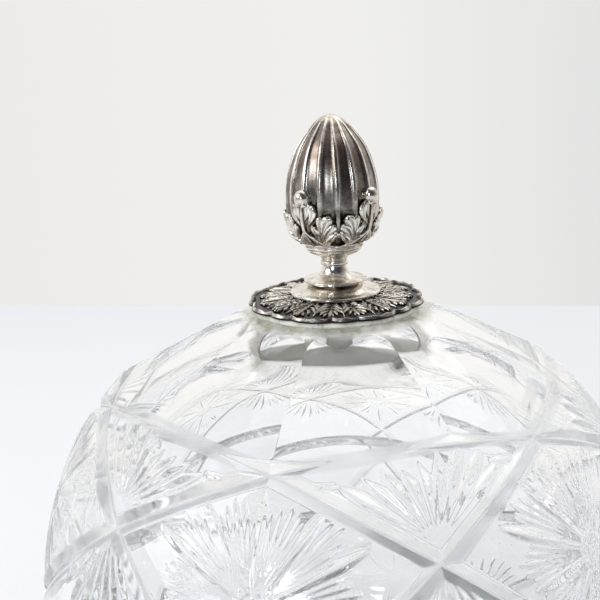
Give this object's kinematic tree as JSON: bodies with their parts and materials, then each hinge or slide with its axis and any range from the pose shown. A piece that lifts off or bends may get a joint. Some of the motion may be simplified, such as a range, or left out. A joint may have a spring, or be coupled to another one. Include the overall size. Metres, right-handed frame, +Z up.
{
  "type": "powder jar",
  "caption": "Round covered cut-glass powder jar with a deep domed lid that lifts off by a fluted silver bud knob on a scalloped acanthus plate.",
  "frame": {"origin": "centre of the jar's flat foot, on the surface it stands on", "axes": "+Z up along the axis of the jar, lid and knob; -Y towards the front, where one crossing of the mitre cuts lies"},
  "size_m": [0.1376, 0.1376, 0.1691],
  "materials": {
    "cut_glass": "clear heavy glass, polished, with deep mitre, fan and star cuts",
    "old_silver": "old polished silver, warm grey, with brown and black tarnish in the recesses",
    "oxidised_silver": "cast silver leaf relief, pale on the high points over a near-black ground",
    "cement": "aged olive-grey cement, mottled",
    "fixing_metal": "dull brass, worn"
  },
  "bodies": {
    "jar": {"glass_jar": "cut_glass"},
    "lid": {"glass_lid": "cut_glass", "cement_bed": "cement", "stud_cement": "cement", "rosette_plate": "oxidised_silver", "base_ring": "old_silver", "stem_foot": "old_silver", "neck_ring": "old_silver", "calyx_cup": "old_silver", "bud_shell": "old_silver", "bud_boss": "fixing_metal", "acanthus_leaf_1": "old_silver", "acanthus_leaf_2": "old_silver", "acanthus_leaf_3": "old_silver", "acanthus_leaf_4": "old_silver", "berry_1": "old_silver", "berry_2": "old_silver", "berry_3": "old_silver", "berry_4": "old_silver", "threaded_stud": "fixing_metal"}
  },
  "joints": [
    {"name": "lid_lift", "type": "slide", "parent": "jar", "child": "lid", "axis": [0, 0, 1], "range_m": [0, 0.08]}
  ]
}
